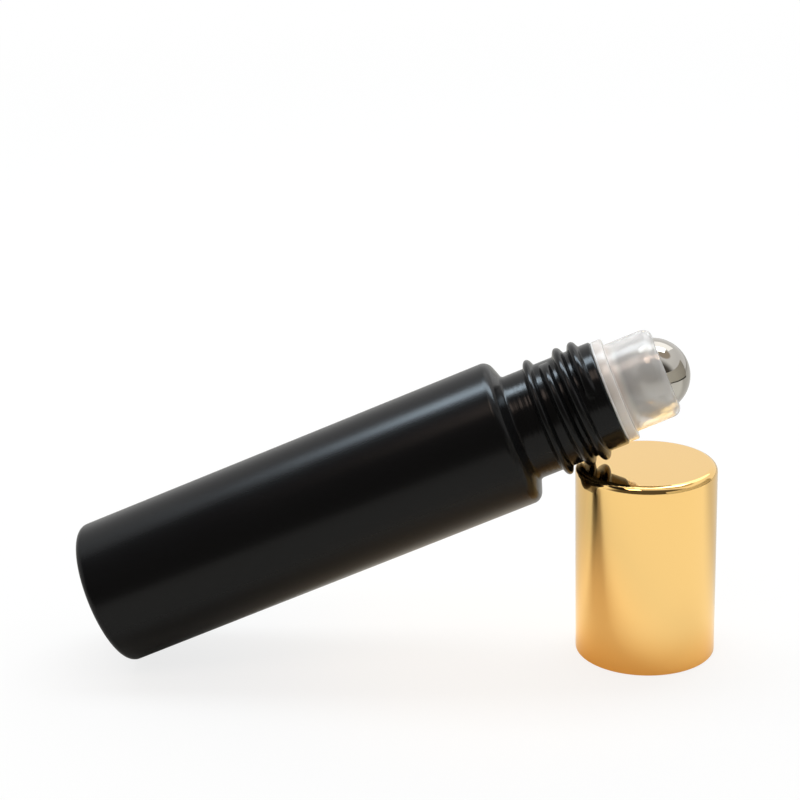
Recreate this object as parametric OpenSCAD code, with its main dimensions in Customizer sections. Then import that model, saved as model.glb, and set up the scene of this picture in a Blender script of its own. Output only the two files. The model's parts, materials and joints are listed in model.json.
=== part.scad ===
// Roll-on bottle for 10 ml of oil: black glass, a steel ball in a plastic housing, and a metal cap.
// The cap stands on its open end, and the bottle leans on it with its neck across the cap's edge.
// Lengths are in millimetres. The bottle and its housing are drawn upright and then leant over.

/* [Bottle] */
// Outside diameter of the body
body_d = 20; // [19.6:0.1:24]
// Height of the neck's rim above the base
rim_h = 74.5; // [66:0.5:100]
// Thickness of the body's wall
body_wall = 2.3; // [1.6:0.1:2.6]
// Height of the inside floor above the base
floor_h = 3; // [2:0.1:6]
// Radius where the inside floor meets the wall
floor_r = 1.5; // [0.8:0.1:3]
// Radius of the heel, where the body meets the base
heel_r = 1; // [0.6:0.1:1.6]
// Width of the flat ring that the bottle stands on
stand_w = 1.2; // [0.8:0.1:2.5]
// Depth of the hollow under the base
push_up = 0.6; // [0.3:0.1:1.2]

/* [Neck] */
// Length from the top of the straight body to the rim
finish_h = 14.6; // [14.2:0.1:18]
// Diameter of the neck at the root of its thread
neck_d = 14.5; // [13.8:0.1:15]
// Diameter of the neck's bore
bore_d = 10; // [9.4:0.1:10.6]
// Radius of the shoulder's corner
shoulder_r = 1.3; // [0.8:0.1:2]
// Slope of the shoulder, in degrees
shoulder_slope = 20; // [10:1:30]
// Radius where the shoulder meets the neck
neck_fillet = 0.6; // [0.3:0.1:0.9]
// Radius of the rim's outer edge
rim_edge = 0.3; // [0.2:0.1:0.6]
// Radius of the rim's inner edge
rim_lead = 0.4; // [0.2:0.1:0.8]
// Radius of the corner inside the shoulder
inner_corner = 2.8; // [1.5:0.1:3.5]
// Radius inside, where the shoulder meets the bore
inner_fillet = 1.5; // [0.8:0.1:2.5]
// Slope of the inside of the shoulder, in degrees
inner_slope = 35; // [20:1:45]
// Depth of the inner shoulder's start below the outer one's
inner_drop = 2; // [1:0.1:3]

/* [Neck thread] */
// Distance from one turn of the thread to the next, 12 turns to the inch
pitch = 2.117; // [2:0.01:2.6]
// Diameter over the thread
thread_d = 16.4; // [16:0.1:17]
// Width of the thread at its root
thread_w = 1.36; // [1:0.02:1.5]
// Number of turns
thread_turns = 2.2; // [1.6:0.1:2.4]
// Depth below the rim at which the thread starts
thread_start = 6.55; // [6:0.05:7]
// Angle over which the thread rises out of the neck at each end, in degrees
thread_fade = 50; // [20:5:90]
// Diameter over the round bead below the thread
bead_d = 16.4; // [15.6:0.1:17]
// Width of the bead at its root
bead_w = 1.2; // [0.8:0.1:1.6]
// Depth of the bead's middle below the rim
bead_depth = 8.75; // [8.4:0.05:10]

/* [Roller] */
// Diameter of the ball
ball_d = 10; // [9.4:0.1:10.4]
// Height of the ball's centre above the rim
ball_rise = 6.1; // [5.8:0.1:7]
// Running clearance round the ball
ball_gap = 0.05; // [0.03:0.01:0.1]

/* [Housing] */
// Diameter of the flange that sits on the rim
flange_d = 14.2; // [13:0.1:15]
// Thickness of the flange
flange_t = 1.55; // [1:0.05:2]
// Radius of the flange's edges
flange_edge = 0.25; // [0.1:0.05:0.5]
// Diameter of the sleeve round the ball
sleeve_d = 12.3; // [11.9:0.1:13]
// Radius where the sleeve meets the flange
sleeve_fillet = 0.25; // [0.1:0.05:0.5]
// Radius of the sleeve's upper edge
sleeve_edge = 1.35; // [0.6:0.05:1.4]
// Height of the lip that holds the ball, above the ball's centre
lip_rise = 1.9; // [1.2:0.1:2.2]
// Length of the plug below the rim
plug_len = 8.5; // [6:0.5:11]
// Depth of the root between the plug's sealing rings, below their tips
ring_rise = 0.22; // [0.1:0.02:0.35]
// Width of a sealing ring
ring_w = 0.7; // [0.4:0.1:1]
// Number of sealing rings
ring_count = 3; // [2:1:4]
// Clearance between the sealing rings and the bore
plug_gap = 0.05; // [0.03:0.01:0.1]
// Chamfer at the plug's tip
tip_chamfer = 0.45; // [0.2:0.05:0.8]
// Diameter of the passage through the plug
feed_d = 7.2; // [6.8:0.1:7.8]
// Gap between the flange and the rim
flange_gap = 0.02; // [0:0.01:0.1]

/* [Cap] */
// Height of the cap
cap_h = 26.9; // [25.8:0.1:32]
// Radius of the cap's edge round its closed end
cap_edge = 1; // [0.6:0.1:1.6]
// Thickness of the metal shell
shell_wall = 0.45; // [0.3:0.05:0.6]
// Radius of the edges at the shell's mouth
mouth_edge = 0.1; // [0.05:0.05:0.2]
// Thickness of the liner's wall behind its thread
liner_wall = 0.6; // [0.5:0.05:1]
// Thickness of the liner's closed end
liner_top = 0.9; // [0.6:0.1:1.4]
// Depth of the liner's mouth inside the shell's
liner_recess = 0.4; // [0.2:0.1:1]
// Clearance between the liner and the shell, which the crush ribs bridge
liner_gap = 0.05; // [0.03:0.01:0.1]
// How far the crush ribs bite into the shell
rib_bite = 0.02; // [0:0.01:0.04]
// Radius of a crush rib
rib_r = 0.3; // [0.2:0.05:0.3]
// Number of crush ribs
rib_count = 16; // [8:1:24]
// Clearance between the bottle's thread and the liner
thread_gap = 0.2; // [0.1:0.05:0.4]
// Clearance between the liner's thread and the neck
crest_gap = 0.3; // [0.15:0.05:0.45]
// Width of the liner's thread at its root
liner_thread_w = 0.7; // [0.5:0.05:0.75]
// Number of turns of the liner's thread
liner_turns = 1.5; // [1:0.1:2]
// Gap between the screwed-on cap and the shoulder
cap_on_gap = 0.3; // [0.1:0.1:0.6]
// Thickness of the ring that seals on the housing's lip
seal_t = 0.7; // [0.5:0.05:0.9]
// Clearance between the ball and the seal ring
seal_clear = 0.2; // [0.1:0.05:0.3]

/* [How it lies] */
// How far the cap's edge reaches under the neck past the thread's crest
cap_reach = 2.35; // [2.2:0.01:2.4]
// How far the cap stands in front of the bottle's axis
cap_front = 0.8; // [0:0.1:2]
// Gap between the thread's crest and the cap's top
rest_gap = 0.1; // [0.05:0.01:0.3]

/* [Hidden] */
$fn = 96;

// Points on a quarter turn, rings of a thread on a whole turn, and steps across a thread
arc_steps = 8;
thread_rings = 36;
thread_steps = 7;
// How far the sides of a thread are drawn past its root, in degrees
root_past = 12;
// How far a thread's foot reaches into what carries it
thread_foot = 0.4;
// How deep a thread's ends dive below the surface
thread_dive = 0.15;

// Radii and heights of the bottle
body_r = body_d / 2;
inner_r = body_r - body_wall;
neck_r = neck_d / 2;
bore_r = bore_d / 2;
body_h = rim_h - finish_h;
thread_rise = thread_d / 2 - neck_r;

// Radii and heights of the roller and its housing
ball_r = ball_d / 2;
cup_r = ball_r + ball_gap;
lip_h = ball_rise + lip_rise;
plug_r = bore_r - plug_gap - ring_rise;
ring_step = plug_len / (ring_count + 1);

// Radii and heights of the cap
liner_bore_r = thread_d / 2 + thread_gap;
liner_r = liner_bore_r + liner_wall;
shell_in_r = liner_r + liner_gap;
cap_r = shell_in_r + shell_wall;
ceiling_h = cap_h - shell_wall - liner_top;
liner_rise = liner_bore_r - neck_r - crest_gap;
// Height of the cap's mouth above the bottle's base when the cap is screwed on
cap_on_h = body_h + shoulder_r * cos(shoulder_slope) + cap_on_gap;
// Height of the housing's lip above the cap's mouth when the cap is screwed on
lip_in_cap = rim_h + lip_h - cap_on_h;
// Ball's radius at the lip, where the seal ring passes over it
ball_at_lip = sqrt(ball_r * ball_r - lip_rise * lip_rise);

// The bottle leans on the one crest of its thread that faces down, half a turn from the start
crest_h = rim_h - thread_start + pitch / 2;
crest_round = thread_w * thread_w / 4 / thread_rise;
crest_r = thread_d / 2 - crest_round;
// From the heel's centre to the crest's centre, along the bottle and across it, and how far it rises
heel_to_crest = crest_h - heel_r;
crest_across = body_r - heel_r - crest_r;
crest_lift = cap_h + rest_gap + crest_round - heel_r;
lean = asin(crest_lift / norm([heel_to_crest, crest_across])) - atan2(crest_across, heel_to_crest);

// Where the base's centre and the cap's axis are, before all is centred on the origin
base_h = (body_r - heel_r) * cos(lean) + heel_r - heel_r * sin(lean);
crest_x = crest_h * cos(lean) + crest_r * sin(lean);
cap_from_base = crest_x - cap_reach + cap_r;
ball_from_base = (rim_h + ball_rise) * cos(lean);
left_end = heel_r * cos(lean) - (body_r - heel_r) * sin(lean) - heel_r;
right_end = max(cap_from_base + cap_r, ball_from_base + ball_r);
near_side = min(-body_r, -cap_front - cap_r);
far_side = max(body_r, cap_r - cap_front);
base_x = -(left_end + right_end) / 2;
axis_y = -(near_side + far_side) / 2;

// Points of an arc round a centre, from one angle to another
function arc(centre, r, from, to) =
    let (steps = max(2, round(arc_steps * abs(to - from) / 90)))
    [for (i = [0:steps])
        let (a = from + (to - from) * i / steps)
        centre + r * [cos(a), sin(a)]];

// A round ridge on a wall: half an ellipse, drawn upwards along the wall or down it
function ridge(wall_r, middle, rise, width, way) =
    [for (i = [0:arc_steps])
        let (a = 180 * i / arc_steps)
        [wall_r + rise * sin(a), middle - way * width / 2 * cos(a)]];

// A shoulder from a wide wall in to a narrow one: a corner, a slope and a fillet
function shoulder(wide_r, narrow_r, corner, fillet, slope, start) =
    let (corner_end = [wide_r - corner + corner * sin(slope), start + corner * cos(slope)],
         slope_end_r = narrow_r + fillet - fillet * sin(slope),
         slope_end_h = corner_end[1] + (corner_end[0] - slope_end_r) * tan(slope),
         fillet_h = slope_end_h + fillet * cos(slope))
    concat(
        arc([wide_r - corner, start], corner, 0, 90 - slope),
        arc([narrow_r + fillet, fillet_h], fillet, 270 - slope, 180));

// Points in reverse order
function backwards(points) = [for (i = [len(points) - 1:-1:0]) points[i]];

// How far a thread has risen at a share of its length: nothing at its ends and all of it between
function risen(along_share, turns) =
    let (fade_share = thread_fade / 360 / turns,
         edge_share = min(1, along_share / fade_share, (1 - along_share) / fade_share))
    sin(90 * edge_share);

// One ring of a thread: radii outwards from its root and heights about its middle, then its foot
function thread_ring(rise, width, risen_share) =
    concat(
        [for (i = [0:thread_steps])
            let (a = -root_past + (180 + 2 * root_past) * i / thread_steps)
            [rise * risen_share * sin(a) - thread_dive * (1 - risen_share), -width / 2 * cos(a)]],
        [[-thread_foot, width / 2 * cos(root_past)], [-thread_foot, -width / 2 * cos(root_past)]]);

// A right-hand thread that starts at a height over local +X turned by an angle.
// Its way is 1 where it stands out of a shaft and -1 where it stands into a bore.
module thread(root_r, rise, width, turns, start_h, start_angle, way) {
    rings = ceil(thread_rings * turns);
    ring_size = thread_steps + 3;
    points = [for (i = [0:rings])
        let (along_share = i / rings, a = start_angle + 360 * turns * along_share)
        for (p = thread_ring(rise, width, risen(along_share, turns)))
            let (r = root_r + way * p[0])
            [r * cos(a), r * sin(a), start_h + pitch * turns * along_share + way * p[1]]];
    sides = [for (i = [0:rings - 1], k = [0:ring_size - 1])
        let (here = i * ring_size, next = here + ring_size, up = (k + 1) % ring_size)
        each [[here + k, next + up, next + k], [here + k, here + up, next + up]]];
    foot = ring_size - 1;
    last_start = rings * ring_size;
    first_end = [for (k = [0:foot - 2]) [foot, k + 1, k]];
    last_end = [for (k = [0:foot - 2]) [last_start + foot, last_start + k, last_start + k + 1]];
    polyhedron(points, concat(sides, first_end, last_end), convexity = 8);
}

// Leans a piece that is drawn upright on the base's centre
module leant() {
    translate([base_x, axis_y, base_h])
        rotate([0, 90 - lean, 0])
            children();
}

// Puts a piece that is drawn on the cap's mouth where the cap stands
module standing() {
    translate([base_x + cap_from_base, axis_y - cap_front, 0])
        children();
}

// Half section of the glass: base, body, shoulder, bead and rim outside, then back down inside
module glass_section() {
    stand_r = body_r - heel_r - stand_w;
    dome_r = (stand_r * stand_r + push_up * push_up) / (2 * push_up);
    dome = [for (i = [0:arc_steps])
        let (r = stand_r * i / arc_steps)
        [r, push_up - dome_r + sqrt(dome_r * dome_r - r * r)]];
    polygon(concat(
        dome,
        arc([body_r - heel_r, heel_r], heel_r, -90, 0),
        shoulder(body_r, neck_r, shoulder_r, neck_fillet, shoulder_slope, body_h),
        ridge(neck_r, rim_h - bead_depth, bead_d / 2 - neck_r, bead_w, 1),
        arc([neck_r - rim_edge, rim_h - rim_edge], rim_edge, 0, 90),
        arc([bore_r + rim_lead, rim_h - rim_lead], rim_lead, 90, 180),
        backwards(shoulder(inner_r, bore_r, inner_corner, inner_fillet, inner_slope,
            body_h - inner_drop)),
        arc([inner_r - floor_r, floor_h + floor_r], floor_r, 0, -90),
        [[0, floor_h]]));
}

module glass_bottle() {
    color("#161616")
        leant()
            union() {
                rotate_extrude()
                    glass_section();
                thread(neck_r, thread_rise, thread_w, thread_turns, rim_h - thread_start, 180, 1);
            }
}

// Half section of the housing, measured from the rim: plug with sealing rings, flange and sleeve
module housing_section() {
    flange_r = flange_d / 2;
    sleeve_r = sleeve_d / 2;
    rings = [for (i = [1:ring_count])
        each ridge(plug_r, i * ring_step - plug_len, ring_rise, ring_w, 1)];
    polygon(concat(
        [[feed_d / 2, -plug_len]],
        [[plug_r - tip_chamfer, -plug_len], [plug_r, tip_chamfer - plug_len]],
        rings,
        [[plug_r, flange_gap]],
        arc([flange_r - flange_edge, flange_gap + flange_edge], flange_edge, -90, 0),
        arc([flange_r - flange_edge, flange_t - flange_edge], flange_edge, 0, 90),
        arc([sleeve_r + sleeve_fillet, flange_t + sleeve_fillet], sleeve_fillet, 270, 180),
        arc([sleeve_r - sleeve_edge, lip_h - sleeve_edge], sleeve_edge, 0, 90),
        [[feed_d / 2, lip_h]]));
}

module roller_housing() {
    color("#dcdcdc")
        leant()
            translate([0, 0, rim_h])
                difference() {
                    rotate_extrude()
                        housing_section();
                    translate([0, 0, ball_rise])
                        sphere(r = cup_r);
                }
}

module roller_ball() {
    color("#b4b4b4")
        leant()
            translate([0, 0, rim_h + ball_rise])
                sphere(r = ball_r);
}

// Half section of the shell: closed end up, with the mouth's edges rounded
module shell_section() {
    inner_edge = cap_edge - shell_wall;
    polygon(concat(
        arc([cap_r - mouth_edge, mouth_edge], mouth_edge, -90, 0),
        arc([cap_r - cap_edge, cap_h - cap_edge], cap_edge, 0, 90),
        [[0, cap_h], [0, cap_h - shell_wall]],
        arc([shell_in_r - inner_edge, cap_h - cap_edge], inner_edge, 90, 0),
        arc([shell_in_r + mouth_edge, mouth_edge], mouth_edge, 180, 270)));
}

module cap_shell() {
    color("#d9a85a")
        standing()
            rotate_extrude()
                shell_section();
}

// Half section of the liner: wall, closed end and the ring that seals on the housing's lip
module liner_section() {
    end_edge = cap_edge - shell_wall + liner_gap;
    seal_in_r = ball_at_lip + seal_clear;
    polygon(concat(
        [[liner_bore_r + liner_wall / 2, liner_recess], [liner_r, liner_recess]],
        arc([liner_r - end_edge, cap_h - shell_wall - end_edge], end_edge, 0, 90),
        [[0, cap_h - shell_wall], [0, ceiling_h]],
        [[seal_in_r, ceiling_h], [seal_in_r, lip_in_cap]],
        [[seal_in_r + seal_t, lip_in_cap], [seal_in_r + seal_t, ceiling_h]],
        [[liner_bore_r, ceiling_h], [liner_bore_r, liner_recess + liner_wall / 2]]));
}

// Thin ribs up the outside of the liner, which hold it in the shell
module crush_ribs() {
    rib_tip = shell_in_r + rib_bite;
    for (i = [0:rib_count - 1])
        rotate([0, 0, 360 * i / rib_count])
            translate([rib_tip - rib_r, 0, liner_recess + liner_wall])
                cylinder(r = rib_r, h = ceiling_h - liner_recess - 2 * liner_wall);
}

module cap_liner() {
    // The lowest turn meets the bottle's thread half a turn up from its start
    first_h = crest_h - cap_on_h;
    color("#e8e6e0")
        standing()
            union() {
                rotate_extrude()
                    liner_section();
                crush_ribs();
                thread(liner_bore_r, liner_rise, liner_thread_w, liner_turns, first_h, 0, -1);
            }
}

glass_bottle();
roller_housing();
roller_ball();
cap_shell();
cap_liner();
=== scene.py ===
import json
import math

import bmesh
import bpy
from mathutils import Matrix, Vector

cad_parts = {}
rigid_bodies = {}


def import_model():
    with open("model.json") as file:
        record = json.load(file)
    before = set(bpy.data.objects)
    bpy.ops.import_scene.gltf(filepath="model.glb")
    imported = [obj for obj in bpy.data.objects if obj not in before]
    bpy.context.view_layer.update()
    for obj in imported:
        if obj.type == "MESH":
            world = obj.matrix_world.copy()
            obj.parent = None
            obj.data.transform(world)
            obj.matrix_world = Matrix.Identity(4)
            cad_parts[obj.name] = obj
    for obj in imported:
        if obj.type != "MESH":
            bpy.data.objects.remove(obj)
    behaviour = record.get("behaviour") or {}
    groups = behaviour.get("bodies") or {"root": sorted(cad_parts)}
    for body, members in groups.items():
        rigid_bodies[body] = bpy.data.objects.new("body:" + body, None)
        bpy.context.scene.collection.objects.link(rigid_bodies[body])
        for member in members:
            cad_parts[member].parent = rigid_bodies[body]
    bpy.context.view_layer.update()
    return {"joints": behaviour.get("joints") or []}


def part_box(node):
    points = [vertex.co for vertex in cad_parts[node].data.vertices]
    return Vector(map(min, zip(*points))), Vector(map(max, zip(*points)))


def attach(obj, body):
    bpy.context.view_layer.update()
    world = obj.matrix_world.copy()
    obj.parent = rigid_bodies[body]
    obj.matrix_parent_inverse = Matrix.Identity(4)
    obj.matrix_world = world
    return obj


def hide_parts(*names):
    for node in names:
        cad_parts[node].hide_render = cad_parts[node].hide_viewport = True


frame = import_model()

# A roll-on bottle for 10 ml of oil, leaning on its standing cap. Places come from the frame, in
# metres. Sizes are in millimetres. Each piece is turned upright round Z, then laid in its place.

mm = 0.001
turn = 2 * math.pi
roundSteps = 192     # round the bottle and the cap, so that outlines and reflections stay smooth
sharpFrom = 35       # degrees between two faces, from which their edge stays sharp
nearby = mm / 1000   # points nearer than this count as one, or as lying on a wall


# Drawing and turning

def drawOutline(bm, points):
    # points are (radius, height), with a third number where the corner is rounded
    verts = [bm.verts.new((p[0] * mm, 0, p[1] * mm)) for p in points]
    for a, b in zip(verts, verts[1:]):
        bm.edges.new((a, b))
    return verts, [(v, p[2]) for v, p in zip(verts, points) if len(p) > 2]


def roundCorners(bm, corners, segments=8):
    for corner, radius in corners:
        sides = [e.other_vert(corner).co - corner.co for e in corner.link_edges]
        reach = radius * mm / math.tan(sides[0].angle(sides[1]) / 2)
        bmesh.ops.bevel(bm, geom=[corner], offset=reach, offset_type="OFFSET", segments=segments,
                        profile=0.5, affect="VERTICES", material=-1)


def turnRound(bm):
    bmesh.ops.spin(bm, geom=bm.verts[:] + bm.edges[:], cent=(0, 0, 0), axis=(0, 0, 1),
                   angle=turn, steps=roundSteps, use_merge=True)
    bmesh.ops.remove_doubles(bm, verts=bm.verts, dist=nearby)
    bmesh.ops.recalc_face_normals(bm, faces=bm.faces)


ridgeShape = {
    "roundTo": 0.8, "filletTo": 1.3,           # where the crest and its fillet end, in half widths
    "filletRise": 0.6, "filletSlope": 0.667,   # height and slope where the crest meets the fillet
}


def ridge(across):
    # height of a ridge, 1 on its round crest and 0 past its fillets
    t, r = abs(across), ridgeShape
    if t < r["roundTo"]:
        return math.sqrt(1 - t * t)
    if t > r["filletTo"]:
        return 0
    s = (t - r["roundTo"]) / (r["filletTo"] - r["roundTo"])
    level, slope = 2 * s ** 3 - 3 * s ** 2 + 1, s ** 3 - 2 * s ** 2 + s
    return r["filletRise"] * level - r["filletSlope"] * slope


def threadRise(thread, angle, height):
    # share of its full height that a one-start right-hand thread has at an angle and a height
    turned = (angle / turn - thread["startTurn"]) % 1
    highest = 0
    for k in range(math.ceil(thread["turns"])):
        along = turned + k
        toEnd = min(along, thread["turns"] - along)
        if toEnd > 0:
            shown = math.sin(turn / 4 * min(1, toEnd / thread["fade"]))
            across = (height - thread["start"] - thread["pitch"] * along) / (thread["width"] / 2)
            highest = max(highest, shown * ridge(across))
    return highest


def raiseWall(bm, wallR, low, high, rise):
    # moves a wall's points in or out by rise(angle, height)
    for v in bm.verts:
        onWall = abs(v.co.xy.length - wallR * mm) < nearby
        if onWall and low * mm <= v.co.z <= high * mm:
            push = rise(math.atan2(v.co.y, v.co.x), v.co.z / mm)
            v.co.xy *= (wallR + push) / wallR


def finishPiece(name, bm, place, body, node, materials):
    bm.transform(place)
    mesh = bpy.data.meshes.new(name)
    bm.to_mesh(mesh)
    bm.free()
    for material in materials:
        mesh.materials.append(material)
    mesh.shade_smooth()
    mesh.set_sharp_from_angle(angle=math.radians(sharpFrom))
    piece = bpy.data.objects.new(name, mesh)
    bpy.context.scene.collection.objects.link(piece)
    normals = piece.modifiers.new("weightedNormals", "WEIGHTED_NORMAL")
    normals.keep_sharp = True   # flats stay flat right up to their rounded edges
    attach(piece, body)
    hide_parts(node)
    print("made", name, len(mesh.polygons), "faces")


# Materials

def linear(hexColour):
    # a colour as a picture shows it, written in hex, turned into the light that nodes work with
    shares = [int(hexColour[i:i + 2], 16) / 255 for i in (1, 3, 5)]
    return [c / 12.92 if c <= 0.04045 else ((c + 0.055) / 1.055) ** 2.4 for c in shares] + [1]


def addNode(tree, kind, inputs={}, **settings):
    node = tree.nodes.new("ShaderNode" + kind)
    for name, value in settings.items():
        setattr(node, name, value)
    for name, value in inputs.items():
        if isinstance(value, bpy.types.NodeSocket):
            tree.links.new(value, node.inputs[name])
        else:
            node.inputs[name].default_value = value
    return node


def newMaterial(name):
    material = bpy.data.materials.new(name)
    material.use_nodes = True
    material.node_tree.nodes.clear()
    return material, material.node_tree


def heightAbove(tree, place):
    # height in metres along a piece's own axis, above the spot where the piece was laid
    return addNode(tree, "SeparateXYZ", {"Vector": addNode(tree, "Mapping", {
        "Vector": addNode(tree, "TexCoord").outputs["Object"],
        "Location": place.translation, "Rotation": place.to_euler()},
        vector_type="TEXTURE").outputs[0]}).outputs["Z"]


def softChange(tree, driver, low, high, below, above):
    # goes softly from one colour or number to another while the driver goes from low to high
    share = addNode(tree, "MapRange", {"Value": driver, "From Min": low, "From Max": high},
                    interpolation_type="SMOOTHSTEP").outputs[0]
    if isinstance(above, (int, float)):
        return addNode(tree, "Mix", {0: share, 2: below, 3: above}).outputs[0]
    return addNode(tree, "Mix", {0: share, 6: below, 7: above}, data_type="RGBA").outputs[2]


lacquer = {
    "colour": "#101011", "dustColour": "#a39d94", "bend": 1.5, "shine": 0.16,
    "bodyRoughness": 0.25, "neckRoughness": 0.2, "roughnessSpread": 0.03,
    "change": 1,                           # how far past the shoulder the finish changes, mm
    "peel": 0.4, "peelDepth": 0.0012,      # grain and depth of the orange peel, mm
    "wave": 9, "waveDepth": 0.012,         # slow waves of the glass under the lacquer, mm
    "streak": 0.4, "streakDepth": 0.025,   # rings round the neck, from its mould, mm
    "dustEvery": 5, "dustSize": 0.06,      # spacing and radius of dust specks, mm
}


def sprayedLacquer(place, bodyEnd, neckStart):
    # Satin black lacquer, sprayed on glass and baked. It gives the eye a soft blurred sheen with
    # faint orange peel, a glossier neck where it pools between the threads, and a few dust specks.
    # The peel and the rings are drawn coarser than real ones, which would be too fine to show.
    material, tree = newMaterial("sprayedSatinLacquer")
    coords = addNode(tree, "TexCoord").outputs["Object"]
    height = heightAbove(tree, place)
    pastShoulder = (height, (bodyEnd - lacquer["change"]) * mm,
                    (neckStart + lacquer["change"]) * mm)
    onNeck = softChange(tree, *pastShoulder, 0, 1)
    towardsNeck = softChange(tree, *pastShoulder,
                             lacquer["bodyRoughness"], lacquer["neckRoughness"])
    rings = addNode(tree, "TexNoise", {
        "W": height, "Scale": 1 / (lacquer["streak"] * mm), "Detail": 2},
        noise_dimensions="1D").outputs["Fac"]
    waves = addNode(tree, "TexNoise", {
        "Vector": coords, "Scale": 1 / (lacquer["wave"] * mm), "Detail": 1}).outputs["Fac"]
    spread = addNode(tree, "MapRange", {
        "Value": waves, "To Min": -lacquer["roughnessSpread"],
        "To Max": lacquer["roughnessSpread"]}).outputs[0]
    roughness = addNode(tree, "Math", {0: towardsNeck, 1: spread}, operation="ADD").outputs[0]
    peel = addNode(tree, "TexNoise", {
        "Vector": coords, "Scale": 1 / (lacquer["peel"] * mm), "Detail": 1}).outputs["Fac"]
    dust = addNode(tree, "TexVoronoi", {
        "Vector": coords, "Scale": 1 / (lacquer["dustEvery"] * mm)})
    near = addNode(tree, "Math", {
        0: dust.outputs["Distance"], 1: lacquer["dustSize"] / lacquer["dustEvery"]},
        operation="LESS_THAN").outputs[0]
    colour = addNode(tree, "Mix", {
        0: near, 6: linear(lacquer["colour"]), 7: linear(lacquer["dustColour"])},
        data_type="RGBA").outputs[2]
    waveBump = addNode(tree, "Bump", {
        "Height": waves, "Distance": lacquer["waveDepth"] * mm}).outputs[0]
    ringBump = addNode(tree, "Bump", {
        "Height": rings, "Strength": onNeck,
        "Distance": lacquer["streakDepth"] * mm, "Normal": waveBump}).outputs[0]
    bump = addNode(tree, "Bump", {
        "Height": peel, "Distance": lacquer["peelDepth"] * mm, "Normal": ringBump}).outputs[0]
    shader = addNode(tree, "BsdfPrincipled", {
        "Base Color": colour, "Roughness": roughness, "IOR": lacquer["bend"],
        "Specular IOR Level": lacquer["shine"], "Normal": bump})
    addNode(tree, "OutputMaterial", {"Surface": shader.outputs[0]})
    return material


bareGlass = {
    "colour": "#0a0a0b", "bend": 1.52, "roughness": 0.05,
    "wave": 4, "waveDepth": 0.02,          # waves of the blown glass, mm
}


def mouldedGlass():
    # The bottle's bare inside: blown glass over the black coat, so it looks black, wet and wavy.
    material, tree = newMaterial("blownGlassInside")
    coords = addNode(tree, "TexCoord").outputs["Object"]
    waves = addNode(tree, "TexNoise", {
        "Vector": coords, "Scale": 1 / (bareGlass["wave"] * mm), "Detail": 1}).outputs["Fac"]
    bump = addNode(tree, "Bump", {
        "Height": waves, "Distance": bareGlass["waveDepth"] * mm}).outputs[0]
    shader = addNode(tree, "BsdfPrincipled", {
        "Base Color": linear(bareGlass["colour"]), "Roughness": bareGlass["roughness"],
        "IOR": bareGlass["bend"], "Normal": bump})
    addNode(tree, "OutputMaterial", {"Surface": shader.outputs[0]})
    return material


polyethylene = {
    "colour": "#fcfbf9", "flangeColour": "#efe8e3", "edgeHighlightColour": "#ffffff",
    "sleeveClear": 0.7, "flangeClear": 0.3,    # thick plastic looks milkier than thin
    "milkyFor": 1.5,                            # how far above the flange it stays milkier, mm
    "edgeHighlightTo": 0.3, "edgeFade": 0.06,          # the flange's lower edge with a painted highlight, and its fade, mm
    "roughness": 0.1, "roughnessSpread": 0.03,
    "bend": 1.22,                               # real 1.51 makes the thin walls look like a lump
    "gloss": 1, "glossRoughness": 0.2, "glossBend": 1.51,
    "scatter": 1.2,                             # how far light spreads in it, mm
    "cloud": 2.5, "cloudDepth": 0.004,          # cloudy flow in the moulding, mm
}


def naturalPolyethylene(place):
    # Injection moulded natural LDPE. It gives the eye a milky, waxy plastic with a soft shine. The
    # ball shows through the thin sleeve, the thick flange is milkier, and its lower edge has a
    # painted highlight.
    p = polyethylene
    material, tree = newMaterial("naturalPolyethylene")
    coords = addNode(tree, "TexCoord").outputs["Object"]
    clouds = addNode(tree, "TexNoise", {
        "Vector": coords, "Scale": 1 / (p["cloud"] * mm), "Detail": 2}).outputs["Fac"]
    roughness = addNode(tree, "MapRange", {
        "Value": clouds, "To Min": p["roughness"] - p["roughnessSpread"],
        "To Max": p["roughness"] + p["roughnessSpread"]}).outputs[0]
    bump = addNode(tree, "Bump", {
        "Height": clouds, "Distance": p["cloudDepth"] * mm}).outputs[0]
    height = heightAbove(tree, place)
    flangeTop = housing["flangeThick"]
    # painted highlight: a white, opaque band along the flange's lower edge
    pastHighlight = (height, p["edgeHighlightTo"] * mm, (p["edgeHighlightTo"] + p["edgeFade"]) * mm)
    pastFlange = (height, flangeTop * mm, (flangeTop + p["milkyFor"]) * mm)
    flangeWithHighlight = softChange(tree, *pastHighlight, linear(p["edgeHighlightColour"]), linear(p["flangeColour"]))
    colour = softChange(tree, *pastFlange, flangeWithHighlight, linear(p["colour"]))
    clearPastHighlight = softChange(tree, *pastHighlight, 0, p["flangeClear"])
    clear = softChange(tree, *pastFlange, clearPastHighlight, p["sleeveClear"])
    shader = addNode(tree, "BsdfPrincipled", {
        "Base Color": colour, "Roughness": roughness, "IOR": p["bend"],
        "Transmission Weight": clear, "Subsurface Weight": 1,
        "Subsurface Radius": [1, 1, 1], "Subsurface Scale": p["scatter"] * mm,
        "Coat Weight": p["gloss"], "Coat Roughness": p["glossRoughness"],
        "Coat IOR": p["glossBend"], "Normal": bump})
    addNode(tree, "OutputMaterial", {"Surface": shader.outputs[0]})
    return material


steel = {
    "colour": "#b8b4ad", "roughness": 0.035, "roughnessSpread": 0.014,
    "swirl": 0.6, "swirlDepth": 0.00008, "curl": 1.5,   # size and depth in mm, and how they curl
}


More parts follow.
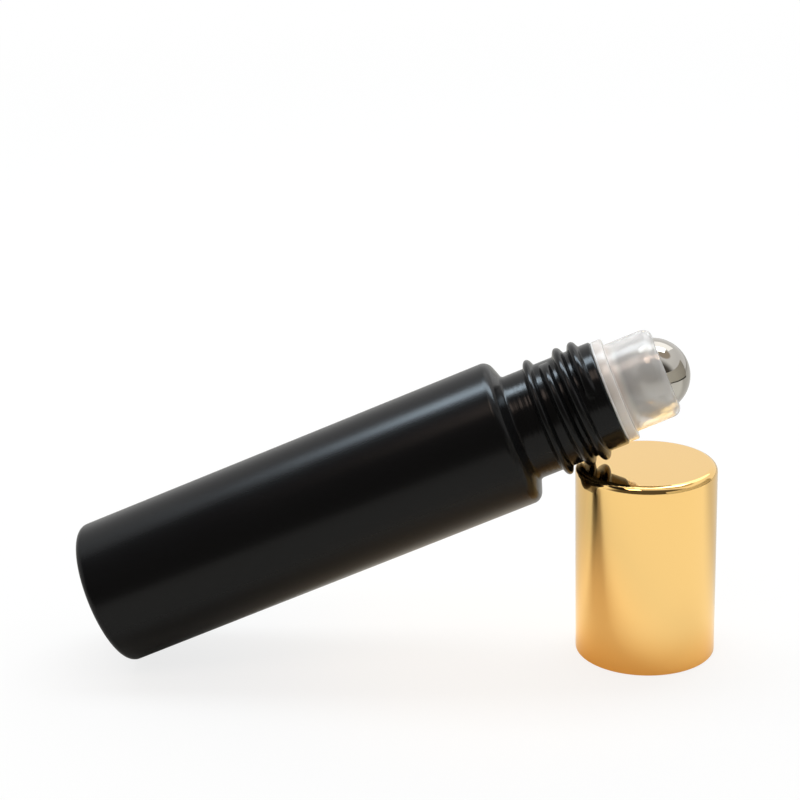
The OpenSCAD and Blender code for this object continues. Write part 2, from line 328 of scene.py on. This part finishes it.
def lappedSteel():
    # A lapped stainless steel ball: a clean grey mirror with hardly visible lapping swirls, which
    # are drawn coarser than real ones.
    material, tree = newMaterial("lappedStainlessSteel")
    coords = addNode(tree, "TexCoord").outputs["Object"]
    swirls = addNode(tree, "TexNoise", {
        "Vector": coords, "Scale": 1 / (steel["swirl"] * mm), "Detail": 3,
        "Distortion": steel["curl"]}).outputs["Fac"]
    roughness = addNode(tree, "MapRange", {
        "Value": swirls, "To Min": steel["roughness"] - steel["roughnessSpread"],
        "To Max": steel["roughness"] + steel["roughnessSpread"]}).outputs[0]
    bump = addNode(tree, "Bump", {
        "Height": swirls, "Distance": steel["swirlDepth"] * mm}).outputs[0]
    shader = addNode(tree, "BsdfPrincipled", {
        "Base Color": linear(steel["colour"]), "Metallic": 1, "Roughness": roughness,
        "Normal": bump})
    addNode(tree, "OutputMaterial", {"Surface": shader.outputs[0]})
    return material


gold = {
    "colour": "#fbd188", "paintedWarmthColour": "#f7c373", "roughness": 0.035, "roughnessSpread": 0.015,
    "paintedWarmthBelow": 7,                      # height below which the colour is painted deeper, a painted warm reflection, mm
    "line": 0.3, "lineDepth": 0.00012,     # drawing lines up the wall, mm
    "lineStretch": 50,                     # how much longer than wide a line is
    "wave": 7, "waveDepth": 0.0015,        # slow unevenness of the thin wall, mm
}


def anodisedGold(place):
    # Deep drawn aluminium, polished, then anodised and dyed gold. It gives the eye a warm mirror
    # with faint lines up the wall, and reflections that sway a little where the wall is uneven.
    material, tree = newMaterial("anodisedGoldAluminium")
    coords = addNode(tree, "TexCoord").outputs["Object"]
    drawn = addNode(tree, "Mapping", {
        "Vector": coords, "Scale": (1, 1, 1 / gold["lineStretch"])}).outputs[0]
    lines = addNode(tree, "TexNoise", {
        "Vector": drawn, "Scale": 1 / (gold["line"] * mm), "Detail": 2}).outputs["Fac"]
    waves = addNode(tree, "TexNoise", {
        "Vector": coords, "Scale": 1 / (gold["wave"] * mm), "Detail": 0}).outputs["Fac"]
    roughness = addNode(tree, "MapRange", {
        "Value": lines, "To Min": gold["roughness"] - gold["roughnessSpread"],
        "To Max": gold["roughness"] + gold["roughnessSpread"]}).outputs[0]
    waveBump = addNode(tree, "Bump", {
        "Height": waves, "Distance": gold["waveDepth"] * mm}).outputs[0]
    bump = addNode(tree, "Bump", {
        "Height": lines, "Distance": gold["lineDepth"] * mm, "Normal": waveBump}).outputs[0]
    # the colour is painted deeper towards the open end: a painted warm reflection of the shaded,
    # gold-lit floor near the cap
    colour = softChange(tree, heightAbove(tree, place), 0, gold["paintedWarmthBelow"] * mm,
                        linear(gold["paintedWarmthColour"]), linear(gold["colour"]))
    shader = addNode(tree, "BsdfPrincipled", {
        "Base Color": colour, "Metallic": 1, "Roughness": roughness, "Normal": bump})
    addNode(tree, "OutputMaterial", {"Surface": shader.outputs[0]})
    return material


polypropylene = {
    "colour": "#e6e4dc", "bend": 1.49, "roughness": 0.36, "roughnessSpread": 0.05,
    "grain": 0.5, "grainDepth": 0.002,     # the mould's texture, mm
    "soft": 0.4, "scatter": 1,             # share of light that enters it, and how far, mm
}


def naturalPolypropylene():
    # Injection moulded natural polypropylene: off-white, a little see-through at its edges, with
    # the dull shine of an eroded mould, whose grain is drawn coarser than the real one.
    p = polypropylene
    material, tree = newMaterial("naturalPolypropylene")
    coords = addNode(tree, "TexCoord").outputs["Object"]
    grain = addNode(tree, "TexNoise", {
        "Vector": coords, "Scale": 1 / (p["grain"] * mm), "Detail": 2}).outputs["Fac"]
    bump = addNode(tree, "Bump", {
        "Height": grain, "Distance": p["grainDepth"] * mm}).outputs[0]
    roughness = addNode(tree, "MapRange", {
        "Value": grain, "To Min": p["roughness"] - p["roughnessSpread"],
        "To Max": p["roughness"] + p["roughnessSpread"]}).outputs[0]
    shader = addNode(tree, "BsdfPrincipled", {
        "Base Color": linear(p["colour"]), "Roughness": roughness, "IOR": p["bend"],
        "Subsurface Weight": p["soft"], "Subsurface Radius": [1, 1, 1],
        "Subsurface Scale": p["scatter"] * mm, "Normal": bump})
    addNode(tree, "OutputMaterial", {"Surface": shader.outputs[0]})
    return material


# Glass bottle

bottle = {
    "radius": 10, "height": 74.5, "heel": 1, "standWidth": 1.2, "standRound": 0.3,
    "pushUp": 0.6, "pushUpShares": (0.5, 0.75),   # where the hollow under the base bends down
    "wall": 2.3, "floor": 3, "floorCorner": 1.5,
    "finish": 14.6, "neckRadius": 7.25, "boreRadius": 5, "rimEdge": 0.3, "rimLead": 0.4,
    "shoulderCorner": 1.3, "shoulderSlope": 20, "neckFillet": 0.6,
    "insideCorner": 2.8, "insideSlope": 35, "insideFillet": 1.5, "insideDrop": 2,
    "beadRise": 0.95, "beadWidth": 1.2, "beadDepth": 8.75, "threadRise": 0.95,
    "rowStep": 0.07,   # between rows of points up the neck, fine enough for the threads
}
neckThread = {
    "start": bottle["height"] - 6.55, "startTurn": 0.5, "pitch": 2.117, "turns": 2.2,
    "width": 1.36, "fade": 50 / 360,
}


def shoulderFoot(wide, narrow, corner, slope, start):
    # where the slope of a shoulder would meet the wide wall and the narrow one, if both were sharp
    lean = math.radians(slope)
    wideH = start + corner * math.tan((turn / 4 - lean) / 2)
    return wideH, wideH + (wide - narrow) * math.tan(lean)


def makeBottle(place):
    b = bottle
    bodyH = b["height"] - b["finish"]
    insideR = b["radius"] - b["wall"]
    wideH, neckH = shoulderFoot(b["radius"], b["neckRadius"], b["shoulderCorner"],
                                b["shoulderSlope"], bodyH)
    insideWideH, insideBoreH = shoulderFoot(insideR, b["boreRadius"], b["insideCorner"],
                                            b["insideSlope"], bodyH - b["insideDrop"])
    low, high = neckH + b["neckFillet"], b["height"] - 2 * b["rimEdge"]
    standR = b["radius"] - b["heel"] - b["standWidth"]
    bm = bmesh.new()
    outShare, upShare = b["pushUpShares"]
    verts, corners = drawOutline(bm, [
        (0, b["pushUp"]), (standR * outShare, b["pushUp"] * upShare),
        (standR, 0, b["standRound"]),
        (b["radius"], 0, b["heel"]),
        (b["radius"], wideH, b["shoulderCorner"]),
        (b["neckRadius"], neckH, b["neckFillet"]),
        (b["neckRadius"], low), (b["neckRadius"], high),
        (b["neckRadius"], b["height"], b["rimEdge"]),
        (b["boreRadius"], b["height"], b["rimLead"]),
        (b["boreRadius"], insideBoreH, b["insideFillet"]),
        (insideR, insideWideH, b["insideCorner"]),
        (insideR, b["floor"], b["floorCorner"]),
        (0, b["floor"])])
    neckWall = bm.edges.get(verts[6:8])
    roundCorners(bm, corners)
    bmesh.ops.subdivide_edges(bm, edges=[neckWall], cuts=round((high - low) / b["rowStep"]))
    turnRound(bm)
    beadH = b["height"] - b["beadDepth"]

    def neckRise(angle, height):
        bead = b["beadRise"] * ridge((height - beadH) / (b["beadWidth"] / 2))
        return max(bead, b["threadRise"] * threadRise(neckThread, angle, height))
    raiseWall(bm, b["neckRadius"], low, high, neckRise)
    for face in bm.faces:   # bare glass from the rim's inner edge down, lacquer outside
        inside = max(v.co.xy.length for v in face.verts) < insideR * mm + nearby
        outward = face.normal.xy.dot(face.calc_center_median().xy) > 0
        above = face.calc_center_median().z > b["floor"] * mm / 2
        if inside and above and not outward:
            face.material_index = 1
    finishPiece("lacqueredGlassBottle", bm, place, "bottle", "glass_bottle",
                [sprayedLacquer(place, bodyH, neckH), mouldedGlass()])


# Ball and its housing

ball = {"radius": 5, "rise": 6.1, "subdivisions": 7}


def makeBall(centre):
    bm = bmesh.new()
    bmesh.ops.create_icosphere(bm, subdivisions=ball["subdivisions"], radius=ball["radius"] * mm)
    finishPiece("steelBall", bm, Matrix.Translation(centre), "ball", "roller_ball",
                [lappedSteel()])


housing = {
    "flangeRadius": 7.1, "flangeThick": 1.55, "flangeEdge": 0.25, "flangeGap": 0.02,
    "sleeveRadius": 6.15, "sleeveFillet": 0.25, "sleeveEdge": 1.35, "lipRise": 1.9,
    "ballGap": 0.05, "plugRadius": 4.73, "plugLength": 8.5, "tipChamfer": 0.45,
    "ringRise": 0.22, "ringWidth": 0.7, "ringFoot": 0.08, "ringCrest": 0.3, "rings": 3,
    "feedRadius": 3.6, "plugEdge": 0.1, "lipEdge": 0.06, "cupSteps": 32,
}


def makeHousing(place):
    h = housing
    cupR = ball["radius"] + h["ballGap"]
    lipH = ball["rise"] + h["lipRise"]
    lipR = math.sqrt(cupR ** 2 - h["lipRise"] ** 2)
    seatH = ball["rise"] - math.sqrt(cupR ** 2 - h["feedRadius"] ** 2)
    bm = bmesh.new()
    rings = []
    for k in range(h["rings"]):
        middle = (k + 1) * h["plugLength"] / (h["rings"] + 1) - h["plugLength"]
        half = h["ringWidth"] / 2
        rings += [(h["plugRadius"], middle - half, h["ringFoot"]),
                  (h["plugRadius"] + h["ringRise"], middle, h["ringCrest"]),
                  (h["plugRadius"], middle + half, h["ringFoot"])]
    verts, corners = drawOutline(bm, [
        (lipR, lipH, h["lipEdge"]), (h["sleeveRadius"], lipH, h["sleeveEdge"] - h["lipEdge"]),
        (h["sleeveRadius"], h["flangeThick"], h["sleeveFillet"]),
        (h["flangeRadius"], h["flangeThick"], h["flangeEdge"]),
        (h["flangeRadius"], h["flangeGap"], h["flangeEdge"]),
        (h["plugRadius"], h["flangeGap"], h["plugEdge"]),
        *reversed(rings),
        (h["plugRadius"], h["tipChamfer"] - h["plugLength"], h["plugEdge"]),
        (h["plugRadius"] - h["tipChamfer"], -h["plugLength"], h["plugEdge"]),
        (h["feedRadius"], -h["plugLength"], h["plugEdge"]),
        (h["feedRadius"], seatH)])
    sweep = math.asin(h["lipRise"] / cupR) + math.acos(h["feedRadius"] / cupR)
    bmesh.ops.spin(bm, geom=[verts[-1]], cent=(0, 0, ball["rise"] * mm), axis=(0, 1, 0),
                   angle=-sweep, steps=h["cupSteps"])   # the cup for the ball, up to the lip
    bmesh.ops.remove_doubles(bm, verts=bm.verts, dist=nearby)
    roundCorners(bm, corners)
    turnRound(bm)
    finishPiece("ballHousing", bm, place, "housing", "roller_housing",
                [naturalPolyethylene(place)])


# Cap

cap = {
    "edge": 1, "edgeSteps": 16, "wall": 0.45, "mouthEdge": 0.1,
    "linerWall": 0.6, "linerTop": 0.9, "linerSteps": 4,
    "linerRecess": 0.4, "linerGap": 0.05, "sealThick": 0.7, "sealRadius": 4.825, "sealLow": 21.08,
    "linerEdge": 0.1, "leadIn": 0.3, "linerFillet": 0.2, "sealEdge": 0.15,
    "ribs": 16, "ribSides": 12, "ribRadius": 0.3, "ribBite": 0.02, "threadRise": 0.85,
    "rowStep": 0.08, "rowsPast": 1,   # rows of points on the bore, and how far past the thread
}
capThread = {
    "start": 7.59, "startTurn": 0, "pitch": 2.117, "turns": 1.5, "width": 0.7, "fade": 50 / 360,
}


def makeShell(place, radius, height):
    c = cap
    insideR, insideH = radius - c["wall"], height - c["wall"]
    bm = bmesh.new()
    corners = drawOutline(bm, [
        (0, height), (radius, height, c["edge"]), (radius, 0, c["mouthEdge"]),
        (insideR, 0, c["mouthEdge"]), (insideR, insideH, c["edge"] - c["wall"]), (0, insideH)])[1]
    roundCorners(bm, corners, segments=c["edgeSteps"])
    turnRound(bm)
    finishPiece("goldCapShell", bm, place, "cap", "cap_shell", [anodisedGold(place)])


def makeLiner(place, radius, height):
    c = cap
    outR = radius - c["wall"] - c["linerGap"]
    boreR = outR - c["linerWall"]
    topH = height - c["wall"]
    ceilingH = topH - c["linerTop"]
    low = capThread["start"] - c["rowsPast"]
    high = capThread["start"] + capThread["pitch"] * capThread["turns"] + c["rowsPast"]
    sealOutR = c["sealRadius"] + c["sealThick"]
    bm = bmesh.new()
    verts, corners = drawOutline(bm, [
        (0, topH), (outR, topH, c["edge"] - c["wall"]), (outR, c["linerRecess"], c["linerEdge"]),
        (boreR, c["linerRecess"], c["leadIn"]), (boreR, low), (boreR, high),
        (boreR, ceilingH, c["linerFillet"]), (sealOutR, ceilingH, c["linerFillet"]),
        (sealOutR, c["sealLow"], c["sealEdge"]), (c["sealRadius"], c["sealLow"], c["sealEdge"]),
        (c["sealRadius"], ceilingH, c["linerFillet"]), (0, ceilingH)])
    boreWall = bm.edges.get(verts[4:6])
    roundCorners(bm, corners, segments=c["linerSteps"])
    bmesh.ops.subdivide_edges(bm, edges=[boreWall], cuts=round((high - low) / c["rowStep"]))
    turnRound(bm)

    def boreRise(angle, height):
        return -c["threadRise"] * threadRise(capThread, angle, height)
    raiseWall(bm, boreR, low, high, boreRise)
    ribR = radius - c["wall"] + c["ribBite"] - c["ribRadius"]
    ribLow = c["linerRecess"] + c["linerWall"]
    ribLength = ceilingH - c["linerWall"] - ribLow
    for k in range(c["ribs"]):
        at = Matrix.Rotation(turn * k / c["ribs"], 4, "Z") @ Matrix.Translation(
            (ribR * mm, 0, (ribLow + ribLength / 2) * mm))
        bmesh.ops.create_cone(bm, cap_ends=True, segments=c["ribSides"],
                              radius1=c["ribRadius"] * mm, radius2=c["ribRadius"] * mm,
                              depth=ribLength * mm, matrix=at)
    finishPiece("threadedLiner", bm, place, "cap", "cap_liner", [naturalPolypropylene()])


# Where the pieces go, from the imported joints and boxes

joints = {j["name"]: j for j in frame["joints"]}
axis = Vector(joints["housing_pull"]["axis"])
ballCentre = Vector(joints["ball_roll"]["pos_m"])
standing = Matrix.Rotation(math.atan2(axis.x, axis.z), 4, "Y")
base = Matrix.Translation(ballCentre - axis * (bottle["height"] + ball["rise"]) * mm) @ standing
rim = Matrix.Translation(ballCentre - axis * ball["rise"] * mm) @ standing
capLow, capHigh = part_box("cap_shell")
capPlace = Matrix.Translation(((capLow.x + capHigh.x) / 2, (capLow.y + capHigh.y) / 2, capLow.z))
capRadius, capHeight = (capHigh.x - capLow.x) / 2 / mm, (capHigh.z - capLow.z) / mm

makeBottle(base)
makeHousing(rim)
makeBall(ballCentre)
makeShell(capPlace, capRadius, capHeight)
makeLiner(capPlace, capRadius, capHeight)


# Camera, matched to the photograph's 800 x 800 frame

view = {
    "place": (8.49, -248.04, 121.13), "left": 1.679, "down": 18.862, "roll": -1.816,
    "lens": 88.53, "sensor": 36,   # mm, and the turns above in degrees
}
camera = bpy.data.objects.new("camera", bpy.data.cameras.new("camera"))
camera.data.lens = view["lens"]
camera.data.sensor_width = view["sensor"]
camera.data.clip_start = 0.01   # metres
camera.data.clip_end = 20
camera.matrix_world = (
    Matrix.Translation(Vector(view["place"]) * mm)
    @ Matrix.Rotation(math.radians(view["left"]), 4, "Z")
    @ Matrix.Rotation(math.radians(90 - view["down"]), 4, "X")
    @ Matrix.Rotation(math.radians(view["roll"]), 4, "Z"))
bpy.context.scene.collection.objects.link(camera)
bpy.context.scene.camera = camera


# Floor and light

stage = {
    "floorSize": 6,   # metres
    "floorColour": "#e6e6e5", "paperGrain": 0.8, "paperDepth": 0.01,
    # the share of plain white that the camera sees on the paper, and where it grows to all white
    "whiteToCamera": 0.8, "whiteFrom": 250, "allWhiteFrom": 650,
    # the paper far in front is painted darker for reflections: painted shade where the light falls
    # off
    "brightTo": 150, "darkFrom": 700,    # how far in front the paper begins and stops to darken
    # the paper as the pieces reflect it: a little warm, and duller behind the object, a painted
    # shade
    "nearColour": "#e7e6e0", "behindShadeColour": "#c4c2bd", "behindFrom": -2, "behindTo": 28,
    # a painted glow on the paper that stands in for the light the polished cap throws: strength,
    # middle beside the cap, and reach
    "goldGlow": 0.29, "glowFrom": (-20, 0), "glowReach": 34,
    "backColour": "#f8f8f7", "frontColour": "#57534d",
    "wallFrom": -0.25, "darkBeyond": -0.6,   # how far towards the camera the room turns dark
    "ceiling": 1.1, "ceilingFrom": 0.4, "ceilingFull": 0.7,   # its light, and how high it begins
    # patches of the room: each one's middle, the cosines where its edge begins and ends, colour
    "bodyFlag": ((-0.48, -0.33, 0.81), 0.91, 0.95, "#201f1e"),   # keeps the body's front dark
    "ballFlag": ((0.47, 0.07, 0.88), 0.95, 0.975, "#c3b6a6"),    # a brown spot on the ball
    "cardColour": "#c8c4ba", "cardFootShadeColour": "#55524b", "cardFoot": 9, "footFade": 2,
    "cardAway": 190, "cardHeight": 110, "cardFrom": 25, "cardTo": 115, "cardSteps": 24,
    "fibre": 3, "fibreDepth": 0.05,
}


def sweepPaint():
    # Matt white paper. The camera sees it nearly white, also through the clear housing, with the
    # object's shadow left on it, and all white far away. The pieces reflect it with painted shade,
    # dark far in front and duller behind the object, and with a painted warm glow near the cap
    # that stands in for the light the cap throws. The grain of the paper is drawn coarser than the
    # real one.
    material, tree = newMaterial("mattWhitePaper")
    path = addNode(tree, "LightPath")
    place = addNode(tree, "TexCoord").outputs["Object"]
    grain = addNode(tree, "TexNoise", {
        "Vector": place, "Scale": 1 / (stage["paperGrain"] * mm)}).outputs["Fac"]
    bump = addNode(tree, "Bump", {"Height": grain, "Distance": stage["paperDepth"] * mm})
    depth = addNode(tree, "SeparateXYZ", {"Vector": place}).outputs["Y"]
    inFront = (depth, -stage["darkFrom"] * mm, -stage["brightTo"] * mm)
    # painted shade: the paper far in front and behind the object is darker as the pieces reflect
    # it
    reflected = softChange(tree, *inFront, linear(stage["frontColour"]),
                           linear(stage["nearColour"]))
    reflected = softChange(tree, depth, stage["behindFrom"] * mm, stage["behindTo"] * mm,
                           reflected, linear(stage["behindShadeColour"]))
    colour = addNode(tree, "Mix", {
        0: path.outputs["Is Camera Ray"], 6: reflected, 7: linear(stage["floorColour"])},
        data_type="RGBA").outputs[2]
    paper = addNode(tree, "BsdfDiffuse", {"Color": colour, "Normal": bump.outputs[0]})
    white = addNode(tree, "Emission", {"Color": (1, 1, 1, 1), "Strength": 1})
    away = addNode(tree, "VectorMath", {0: place}, operation="LENGTH").outputs["Value"]
    whiteness = softChange(tree, away, stage["whiteFrom"] * mm, stage["allWhiteFrom"] * mm,
                           stage["whiteToCamera"], 1)
    through = addNode(tree, "Math", {
        0: path.outputs["Is Transmission Ray"], 1: softChange(tree, *inFront, 0, 1)},
        operation="MULTIPLY").outputs[0]
    direct = addNode(tree, "Math", {
        0: path.outputs["Is Camera Ray"], 1: through}, operation="MAXIMUM").outputs[0]
    seen = addNode(tree, "Math", {0: direct, 1: whiteness}, operation="MULTIPLY").outputs[0]
    # painted light: the paper glows warm beside the cap, in place of the light the gold cap throws
    # on it
    fromCap = addNode(tree, "VectorMath", {
        0: place, 1: capPlace.translation + Vector((*stage["glowFrom"], 0)) * mm},
        operation="DISTANCE").outputs["Value"]
    paintedGlowStrength = softChange(tree, fromCap, capRadius * mm, (capRadius + stage["glowReach"]) * mm,
                        stage["goldGlow"], 0)
    glow = addNode(tree, "Emission", {"Color": linear(gold["paintedWarmthColour"]), "Strength": paintedGlowStrength})
    lit = addNode(tree, "AddShader", {0: paper.outputs[0], 1: glow.outputs[0]})
    mixed = addNode(tree, "MixShader", {0: seen, 1: lit.outputs[0], 2: white.outputs[0]})
    addNode(tree, "OutputMaterial", {"Surface": mixed.outputs[0]})
    return material


def makeStage(name, bm, material):
    mesh = bpy.data.meshes.new(name)
    bm.to_mesh(mesh)
    bm.free()
    mesh.materials.append(material)
    mesh.shade_smooth()
    stagePiece = bpy.data.objects.new(name, mesh)
    bpy.context.scene.collection.objects.link(stagePiece)
    return stagePiece


def makeFloor():
    bm = bmesh.new()
    bmesh.ops.create_grid(bm, x_segments=1, y_segments=1, size=stage["floorSize"] / 2)
    makeStage("floor", bm, sweepPaint())


def greyCardboard():
    # Matt grey cardboard with coarse fibres and a dark foot, a painted shade where it meets the
    # floor, for the ball and the cap to reflect
    material, tree = newMaterial("greyCardboard")
    place = addNode(tree, "TexCoord").outputs["Object"]
    fibres = addNode(tree, "TexNoise", {
        "Vector": place, "Scale": 1 / (stage["fibre"] * mm)}).outputs["Fac"]
    bump = addNode(tree, "Bump", {"Height": fibres, "Distance": stage["fibreDepth"] * mm})
    height = addNode(tree, "SeparateXYZ", {"Vector": place}).outputs["Z"]
    # painted shade: the card is darker at its foot, where it stands on the floor
    colour = softChange(tree, height, stage["cardFoot"] * mm,
                        (stage["cardFoot"] + stage["footFade"]) * mm,
                        linear(stage["cardFootShadeColour"]), linear(stage["cardColour"]))
    card = addNode(tree, "BsdfDiffuse", {"Color": colour, "Normal": bump.outputs[0]})
    addNode(tree, "OutputMaterial", {"Surface": card.outputs[0]})
    return material


def makeCard(centre):
    # a curved card that stands to the right of the object, out of the picture
    bm = bmesh.new()
    drawOutline(bm, [(stage["cardAway"], 0), (stage["cardAway"], stage["cardHeight"])])
    bm.transform(Matrix.Rotation(math.radians(stage["cardFrom"] - 90), 4, "Z"))
    bmesh.ops.spin(bm, geom=bm.verts[:] + bm.edges[:], cent=(0, 0, 0), axis=(0, 0, 1),
                   angle=math.radians(stage["cardTo"] - stage["cardFrom"]),
                   steps=stage["cardSteps"])
    bm.transform(Matrix.Translation((centre.x, centre.y, 0)))
    card = makeStage("greyCard", bm, greyCardboard())
    card.visible_camera = False   # it shows in reflections, and shades nothing
    card.visible_diffuse = False
    card.visible_shadow = False


makeFloor()
makeCard(ballCentre)

# each lamp with the way it shines from, its distance and size in mm, and its light
lamps = {
    "softWindow": {"from": (0, 0.3, 0.95), "away": 900, "size": (1000, 300), "watts": 5.3,
                   "colour": "#e9f3fb"},
    "windowShine": {"from": (0.02, 0.27, 0.96), "away": 905, "size": (1000, 270), "watts": 10.5,
                    "colour": "#d7eeff", "shineOn": "lacqueredGlassBottle"},
    "windowEdge": {"from": (-0.45, 0.233, 0.861), "away": 1010, "size": (90, 130), "watts": 0.8,
                   "colour": "#d7eeff", "shineOn": "lacqueredGlassBottle"},
    "brightCorner": {"from": (0.35, 0.61, 0.71), "away": 900, "size": (520, 400), "watts": 0.6,
                     "colour": "#f8f8f7"},
    "warmLamp": {"from": (-0.24, -0.36, 0.87), "away": 900, "size": (260, 300), "watts": 1.2,
                 "colour": "#ffe6d6"},
}


def addLamp(name, lamp):
    light = bpy.data.lights.new(name, "AREA")
    light.shape = "RECTANGLE"
    light.size, light.size_y = (s * mm for s in lamp["size"])
    light.energy = lamp["watts"]
    light.color = linear(lamp["colour"])[:3]
    back = Vector(lamp["from"]).normalized()
    across = (Vector((1, 0, 0)) - back * back.x).normalized()
    turned = Matrix((across, back.cross(across), back)).transposed().to_4x4()
    obj = bpy.data.objects.new(name, light)
    obj.matrix_world = Matrix.Translation(back * lamp["away"] * mm) @ turned
    bpy.context.scene.collection.objects.link(obj)
    if "shineOn" in lamp:   # adds to the reflections of one piece and lights nothing else
        lit = bpy.data.collections.new(name)
        lit.objects.link(bpy.data.objects[lamp["shineOn"]])
        obj.light_linking.receiver_collection = lit
        obj.visible_diffuse = False


for name, lamp in lamps.items():
    addLamp(name, lamp)


def lightWorld():
    # A pale studio: a white wall, a brighter ceiling, a dark room behind the camera, and a dark
    # and a brown patch for the pieces to reflect. The camera itself sees it all white.
    world = bpy.data.worlds.new("studio")
    world.use_nodes = True
    tree = world.node_tree
    tree.nodes.clear()
    way = addNode(tree, "TexCoord").outputs["Generated"]
    parts = addNode(tree, "SeparateXYZ", {"Vector": way}).outputs
    back, up = parts["Y"], parts["Z"]
    ceiling = [c * stage["ceiling"] for c in linear(stage["backColour"])]
    white = softChange(tree, up, stage["ceilingFrom"], stage["ceilingFull"],
                       linear(stage["backColour"]), ceiling)
    room = softChange(tree, back, stage["darkBeyond"], stage["wallFrom"],
                      linear(stage["frontColour"]), white)
    for aim, edge, full, colour in (stage["bodyFlag"], stage["ballFlag"]):
        facing = addNode(tree, "VectorMath", {0: way, 1: Vector(aim).normalized()},
                         operation="DOT_PRODUCT").outputs["Value"]
        room = softChange(tree, facing, edge, full, room, linear(colour))
    path = addNode(tree, "LightPath")
    seen = addNode(tree, "Mix", {
        0: path.outputs["Is Camera Ray"], 6: room, 7: (1, 1, 1, 1)}, data_type="RGBA").outputs[2]
    light = addNode(tree, "Background", {"Color": seen, "Strength": 1})
    addNode(tree, "OutputWorld", {"Surface": light.outputs[0]})
    bpy.context.scene.world = world


lightWorld()
bpy.context.scene.view_settings.view_transform = "Standard"
print("studio ready, with", len(lamps), "lamps")
